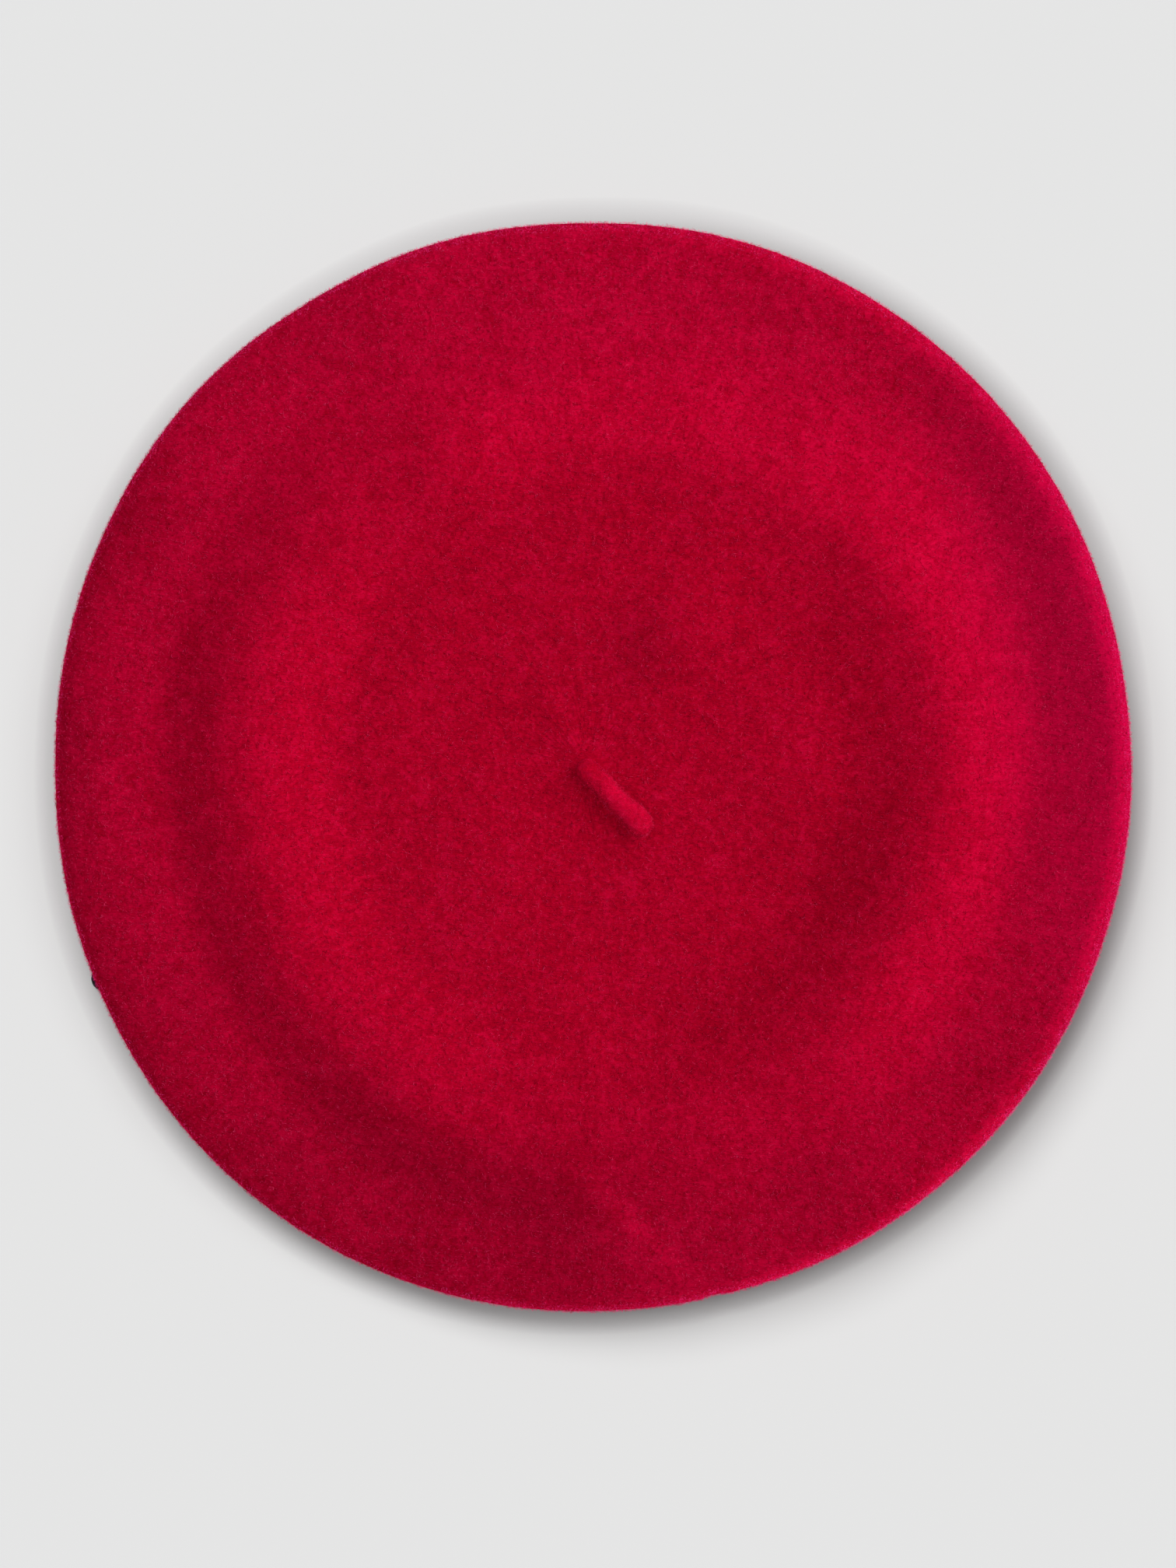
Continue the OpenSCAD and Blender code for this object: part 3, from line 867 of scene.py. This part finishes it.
# The parts of the skin that each layer of nap grows on
outerRings = spun(outerFelt, feltTurn)
upperRings = outerRings[:, 3:widestCount + 2]
edgeRings = outerRings[:, upperCount + 6:widestCount + 6]
rimRings = outerRings[:, upperCount - 18:widestCount]
addNap("crown_nap_deep", upperRings, nap["deep"], napDeep)
addNap("crown_nap_middle", upperRings, nap["middle"], napMiddle)
addNap("crown_nap_bright", upperRings, nap["bright"], napBright)
addNap("crown_nap_rim", rimRings, nap["rim"], napBright)
edgeFuzz = addNap("crown_edge_fuzz", edgeRings, nap["edge"], napEdge)
print("nap made")

# The stalk: a felt stem with a rounded root, a waist and a swollen tip
stalk = {
    "length": 22.2,
    "azimuth": -46,  # degrees
    "rise": 3,
    "root": 6.0,  # widths
    "waist": 5.7,
    "tip": 6.6,
    "lift": 0.12,
    # place along, half width, how far to the side
    "sway": [(0, 0.3, -0.4), (0.24, 0.16, 0.2), (0.5, 0.8, -0.55), (0.72, 0.2, 0.25), (1, 0.3, -0.4)],
    "lumps": 0.09,
    "rings": 34,
    "endRings": 12,
    "endFlat": 0.06,  # radians from the pole of each end
    "napFrom": 14,  # ring
    "sides": 36,
    "seed": 31,
    "nap": (2600, (0.4, 1.0), 0.06, (8, 40), 32),
    "hairs": (300, (0.5, 1.3), 0.045, (15, 60), 33),
}
stalkRise = math.radians(stalk["rise"])
stalkAhead = np.array(heading(stalk["azimuth"])) * math.cos(stalkRise) + (0, 0, math.sin(stalkRise))
stalkSide = np.array(heading(stalk["azimuth"] + 90))
rootRadius, waistRadius, tipRadius = (stalk[part] / 2 for part in ("root", "waist", "tip"))
stemLong = stalk["length"] - tipRadius
along = np.concatenate([
    -rootRadius * np.cos(np.linspace(stalk["endFlat"], np.pi / 2, stalk["endRings"]))[:-1],
    np.linspace(0, stemLong, stalk["rings"]),
    stemLong + tipRadius * np.sin(np.linspace(0, np.pi / 2 - stalk["endFlat"], stalk["endRings"]))[1:],
])
thick = waistRadius + (rootRadius - waistRadius) * bump(2 * along / stemLong)
thick = thick + (tipRadius - waistRadius) * bump(2 * (stemLong - along) / stemLong)
thick = np.where(along < 0, np.sqrt(np.maximum(rootRadius**2 - along**2, 0)), thick)
pastStem = np.maximum(along - stemLong, 0)
thick = np.where(along > stemLong, np.sqrt(np.maximum(tipRadius**2 - pastStem**2, 0)), thick)
sway = sum(off * bump((along / stalk["length"] - at) / wide) for at, wide, off in stalk["sway"])
stalkPath = stalkPivot + along[:, None] * stalkAhead + sway[:, None] * stalkSide + (0, 0, stalk["lift"])
lumps = np.random.default_rng(stalk["seed"]).normal(0, stalk["lumps"], (len(along), stalk["sides"]))
stalkRings = tubeRings(stalkPath, thick[:, None] + lumps * (thick[:, None] / rootRadius), stalk["sides"])
stalkPiece = makePiece("stalk_felt", solidOf(stalkRings), stalkFelt, ["stalk"], "stalk")
stalkSkin = stalkRings.transpose(1, 0, 2)[:, stalk["napFrom"]:]
stalkPieces = [
    stalkPiece,
    addNap("stalk_nap", stalkSkin, stalk["nap"], napStalk, "stalk"),
    addNap("stalk_hairs", stalkSkin, stalk["hairs"], napBright, "stalk"),
]
print("stalk made")

# The sweatband: a leather strip folded round the felt's edge, its free edge up under the ridge
band = {
    "leather": 0.9,
    "wall": 12,  # height of the straight wall
    "fold": 1.6,
    "outer": 91.6,  # radius of the flap's outer face
    "flap": 8.0,  # height of the flap
    "underFelt": 0.8,  # lining and gaps between the free edge and the felt
    "gap": 0.3,  # between the strip's ends
    "topGap": 0.2,
    "topRound": 0.15,
    "edgeRound": 0.2,
    "ripple": 0.12,
    "ripples": 23,
    "wide": 33.0,  # of the strip before it is folded
    "around": 300,
}
bandGap = math.degrees(band["gap"] / openingRadius)
bandTurn = backDegrees + np.linspace(bandGap / 2, 360 - bandGap / 2, band["around"])


def bandSection(angle):
    # from the free edge down, round the fold and up the flap, and back on the other face
    t, high, fold = band["leather"], band["wall"], band["fold"]
    topAt = ridgeRadius(angle) + band["ripple"] * np.sin(np.radians(angle) * band["ripples"])
    topZ = crownHeight(ridgeRadius(angle), angle) - crown["thick"] - band["underFelt"] - band["topGap"]
    face, flapFace, flapEdge = openingRadius, band["outer"], band["flap"] - band["edgeRound"]
    inner, outer = face + fold, flapFace - fold
    rows = []

    def leaning(foot, shares):
        for s in shares:
            lean = (topAt - t / 2 - face) * s * s
            rows.append((foot + lean, high + (topZ - high) * s))

    def rounded(middle, radius, start, end, first=0):
        for a in np.radians(np.linspace(start, end, 6))[first:]:
            rows.append((middle + radius * math.cos(a), fold + radius * math.sin(a)))

    leaning(face, np.linspace(1, 0, 7)[:-1])
    rows += [(face, high), (face, high * 0.6), (face, fold)]
    rounded(inner, fold, 180, 270, 1)
    rounded(outer, fold, 270, 360)
    rows += [(flapFace, band["flap"] * 0.6), (flapFace, flapEdge)]
    rows += [(flapFace - t / 2, band["flap"]), (flapFace - t, flapEdge)]
    rounded(outer, fold - t, 360, 270)
    rounded(inner, fold - t, 270, 180)
    rows += [(face + t, high * 0.6), (face + t, high)]
    leaning(face + t, np.linspace(0, 1, 7)[1:])
    rows.append((topAt, topZ + band["topRound"]))
    return sectionOf(rows, angle)


bandRings = spun(bandSection(bandTurn), bandTurn)
bandPiece = makePiece("band_leather", solidOf(bandRings), leather, ["sweatband"])
print("sweatband made")

# Sewing: two-ply thread
sewing = {"thick": 0.6, "pitch": 1.7, "sides": 7, "long": 4.6, "count": 72, "bars": 4, "sunk": 0.35}


def twisted(path):
    # two plies wound round a path
    side, upper = pathFrames(path)
    step = strides(path).mean()
    turn = np.arange(len(path))[:, None] * step * 2 * np.pi / sewing["pitch"]
    plies = []
    for start in (0, np.pi):
        ply = path + sewing["thick"] / 4 * (np.cos(turn + start) * side + np.sin(turn + start) * upper)
        plies.append(solidOf(tubeRings(ply, sewing["thick"] / 4 * 1.05, sewing["sides"])))
    return plies


def stitch(angle, radius, height, sink, long):
    # a stitch along the strip that dives in at both ends
    s = np.linspace(-0.5, 0.5, 15)
    deep = radius + sink * np.clip((np.abs(s) - 0.36) / 0.14, 0, 1) ** 2
    turn = np.radians(angle) + s * long / radius
    return twisted(aboutAxis(deep, turn, height))


stitchHeight = crown["lipEdge"] + (band["flap"] - crown["lipEdge"]) / 2
stitches = []
for i in range(sewing["count"]):
    at = backDegrees + 360 * (i + 0.5) / sewing["count"]
    stitches += stitch(at, band["outer"] + sewing["thick"] / 2, stitchHeight, -sewing["sunk"], sewing["long"])
makePiece("band_sewing", gather(stitches), threadBlack, ["band_stitches"])

backSection = bandSection(np.array([backDegrees]))[0]
bars = []
for i in range(sewing["bars"]):
    place = (i + 0.75) / (sewing["bars"] + 0.5)
    barHeight = band["wall"] + (backSection[:6, 1].max() - band["wall"]) * place
    face = np.interp(barHeight, backSection[5::-1, 1], backSection[5::-1, 0])
    bars += stitch(backDegrees, face - sewing["thick"] / 2, barHeight, sewing["sunk"], sewing["long"])
makePiece("back_bars", gather(bars), threadBlack, ["back_tack"])
print("sewing made")

# The lining: a round top that hangs under the felt, and a side down into the fold
lining = {
    "cloth": 0.4,
    "below": 3.0,  # the felt's thickness and a gap
    "sag": 2.0,
    "sagWide": 30,
    "seamOut": 9,  # of the ridge
    "gathers": 64,
    "gatherDeep": 0.35,
    "gatherFrom": 0.72,  # shares of the way to the seam: where they start, and grow over
    "gatherOver": 0.25,
    "seamAllowance": 4,
    "sideRadius": 87.1,
    "sideRise": 11.2,
    "standing": 0.3,  # share of the side that stands straight, below sideRise
    "seamIn": 0.4,  # from the seam to the side's upper edge
    "ripple": 0.25,
    "ripples": 37,
    "around": 256,
}
liningTurn = np.arange(lining["around"]) * 360 / lining["around"]


def topRow(share, below):
    # a ring of the lining's top, at a share of the way to the seam
    r = share * (ridgeRadius(liningTurn) + lining["seamOut"])
    slope = crownHeight(r + 0.5, liningTurn) - crownHeight(np.maximum(r - 0.5, 0), liningTurn)
    drop = lining["below"] * np.sqrt(1 + slope**2) + lining["sag"] * bump(r / lining["sagWide"]) + below
    gathered = lining["gatherDeep"] * (1 + np.sin(np.radians(liningTurn) * lining["gathers"])) / 2
    drop = drop + gathered * ease((share - lining["gatherFrom"]) / lining["gatherOver"])
    return np.stack([r, crownHeight(r, liningTurn) - drop], axis=-1)


shares = np.linspace(0.004, 1, 60)
topRows = [topRow(share, 0) for share in shares] + [topRow(share, lining["cloth"]) for share in shares[::-1]]
topRings = spun(np.stack(topRows, axis=1), liningTurn).transpose(1, 0, 2)
topPiece = makePiece("lining_top", solidOf(topRings), satin, ["lining_tip"])
topWide = 2 * (crown["ridge"][0] + lining["seamOut"]) + lining["seamAllowance"]
topWide * mm
topWide * mm
math.pi / 4 * (topWide * mm) ** 2

seam = topRow(1.0, lining["cloth"])
sideRows = []
standing, sideFoot, sideRise = lining["standing"], crown["lipEdge"], lining["sideRise"]
sideOut, sideTop = seam[:, 0] - lining["seamIn"], seam[:, 1] - lining["seamIn"]
ripples = lining["ripple"] * np.sin(np.radians(liningTurn) * lining["ripples"])
for s in np.linspace(0, 1, 26):
    rise = np.clip((s - standing) / (1 - standing), 0, 1)
    r = lining["sideRadius"] + (sideOut - lining["sideRadius"]) * ease(rise)
    lower, upper = sideFoot + (sideRise - sideFoot) * s / standing, sideRise + (sideTop - sideRise) * rise
    z = np.where(s < standing, lower, upper) + ripples * bump(2 * rise - 1) * (rise > 0)
    sideRows.append(np.stack([r, z], axis=-1))
sideFace = np.stack(sideRows, axis=1)
sideSection = np.concatenate([sideFace, beside(sideFace, lining["cloth"])[:, ::-1]], axis=1)
sideSolid = solidOf(spun(sideSection, liningTurn), True)
sidePiece = makePiece("lining_wall", sideSolid, satin, ["lining_side"])

# Overcast stitches along the lining's seam
overcast = {"count": 220, "half": 0.9, "thick": 0.3, "out": 0.25, "below": 0.2, "slant": 0.5}
overcasts = []
for i in range(overcast["count"]):
    at = 360 * i / overcast["count"]
    r, z = (np.interp(at, liningTurn, seam[:, k], period=360) for k in (0, 1))
    s = np.linspace(-1, 1, 7)
    out = r + overcast["out"] * (1 + bump(s))
    turn = np.radians(at) + s * overcast["half"] / r
    path = aboutAxis(out, turn, z - overcast["below"] + overcast["slant"] * s)
    overcasts.append(solidOf(tubeRings(path, overcast["thick"] / 2, 6)))
makePiece("lining_overcast", gather(overcasts), threadBlack, ["lining_seam"])
print("lining made")

# The thread that holds the stalk: a shank through the felt and a wound knot under it
tack = {"knotWide": 4.2, "knotHigh": 1.7, "top": 18.2, "turns": 9, "thread": 0.5, "sunk": 0.6}
shankFoot, shankTop = tack["top"] - tack["knotHigh"] * 0.7, crown["floor"] - tack["sunk"]
shankPath = np.array([(0, 0, z) for z in np.linspace(shankFoot, shankTop, 16)])
wind = np.linspace(0, 1, 260)
ball = np.pi * (0.06 + 0.88 * wind)
ballWide = (tack["knotWide"] - tack["thread"]) / 2 * np.sin(ball)
ballHigh = tack["top"] - tack["knotHigh"] / 2 + (tack["knotHigh"] - tack["thread"]) / 2 * np.cos(ball)
ballPath = aboutAxis(ballWide, 2 * np.pi * tack["turns"] * wind, ballHigh)
tackSolids = twisted(shankPath) + [solidOf(tubeRings(ballPath, tack["thread"] / 2, 8))]
makePiece("tack_thread", gather(tackSolids), threadBlack, ["stalk_tack"])
print("stalk's thread made")

# Floor, light and background
stage = {
    "floor": 3.0,  # metres across
    "floorTone": 0.2,
    "floorGlow": 0.131,
    "nearby": 0.0105,  # painted shadow: the floor's colour and glow darken within this reach of the felt
    "seenTone": 0.776,  # the picture's background, as light
    "world": 0.3,
    # suns: azimuth, elevation, share of the light and width
    "key": (16, 29, 0.385, 46),
    "top": (24, 48, 0.325, 46),
    "stalkKey": (40, 70, 0.47, 50),
    "edgeKey": (200, 70, 0.7, 60),
    "floorKeys": [(108, 54, 1.5, 32), (182, 55, 0.85, 34), (38, 55, 0.62, 34)],
}


def stageFinish():
    finish, sheet = startFinish("floor")
    faint = sheet.place().noise(3.0, 1.0)
    tone = stage["floorTone"]
    colour = faint.blend((tone * 0.995,) * 3 + (1,), (tone * 1.005,) * 3 + (1,))
    # painted shadow: ambient occlusion darkens the floor's colour and its glow next to the felt
    clear = sheet.node("ShaderNodeAmbientOcclusion", {"samples": 16}, {"Distance": stage["nearby"]}, "AO")
    nearby = clear * clear
    endFinish(sheet, {
        "Base Color": colour.scaled(0.85 + 0.15 * nearby),
        "Roughness": 0.95,
        "Specular IOR Level": 0.0,
        "Emission Color": (nearby * nearby).blend((0, 0, 0, 1), (1, 1, 1, 1)),
        "Emission Strength": stage["floorGlow"],
    })
    return finish


half = stage["floor"] / mm / 2
floorCorners = np.array([(-half, -half, 0), (half, -half, 0), (half, half, 0), (-half, half, 0)])
floor = makeObject("floor", (floorCorners, [[0, 1, 2, 3]]), stageFinish())


def addSun(name, kind, only=(), never=(), passes=()):
    # a sun that lights only some pieces or never some, and that passes through some
    data = bpy.data.lights.new(name, "SUN")
    azimuth, elevation, data.angle = (math.radians(kind[i]) for i in (0, 1, 3))
    data.energy = kind[2] * math.pi / math.sin(elevation)
    sun = bpy.data.objects.new(name, data)
    sun.rotation_euler = (0, math.pi / 2 - elevation, azimuth)
    bpy.context.scene.collection.objects.link(sun)
    links = [("receiver", only, "INCLUDE"), ("receiver", never, "EXCLUDE"), ("blocker", passes, "EXCLUDE")]
    for side, pieces, state in links:
        if pieces:
            group = bpy.data.collections.new(name + "_" + side)
            for piece in pieces:
                group.objects.link(piece)
            for member in group.collection_objects:
                member.light_linking.link_state = state
            setattr(sun.light_linking, side + "_collection", group)


addSun("key", stage["key"], never=[floor] + stalkPieces, passes=stalkPieces)
addSun("top", stage["top"], never=[floor])
addSun("stalk_key", stage["stalkKey"], only=stalkPieces)
for i, kind in enumerate(stage["floorKeys"]):
    addSun("floor_key_%d" % i, kind, only=[floor])
addSun("edge_key", stage["edgeKey"], only=[edgeFuzz], passes=[feltPiece])

world = bpy.data.worlds.new("studio")
bpy.context.scene.world = world
world.use_nodes = True
world.node_tree.nodes.clear()
sky = Wire(world.node_tree)
cameraRay = sky.node("ShaderNodeLightPath", {}, {}, "Is Camera Ray")
rays = cameraRay.socket.node.outputs
glossyRay = Wire(world.node_tree, rays["Is Glossy Ray"])
throughRay = Wire(world.node_tree, rays["Is Transmission Ray"])
seen = cameraRay.most(glossyRay).most(throughRay)
strength = stage["world"] + seen * (stage["seenTone"] - stage["world"])
glow = sky.node("ShaderNodeBackground", {}, {"Color": (1, 1, 1, 1), "Strength": strength})
sky.node("ShaderNodeOutputWorld", {}, {"Surface": glow})
bpy.context.scene.view_settings.view_transform = "Standard"
print("stage made")
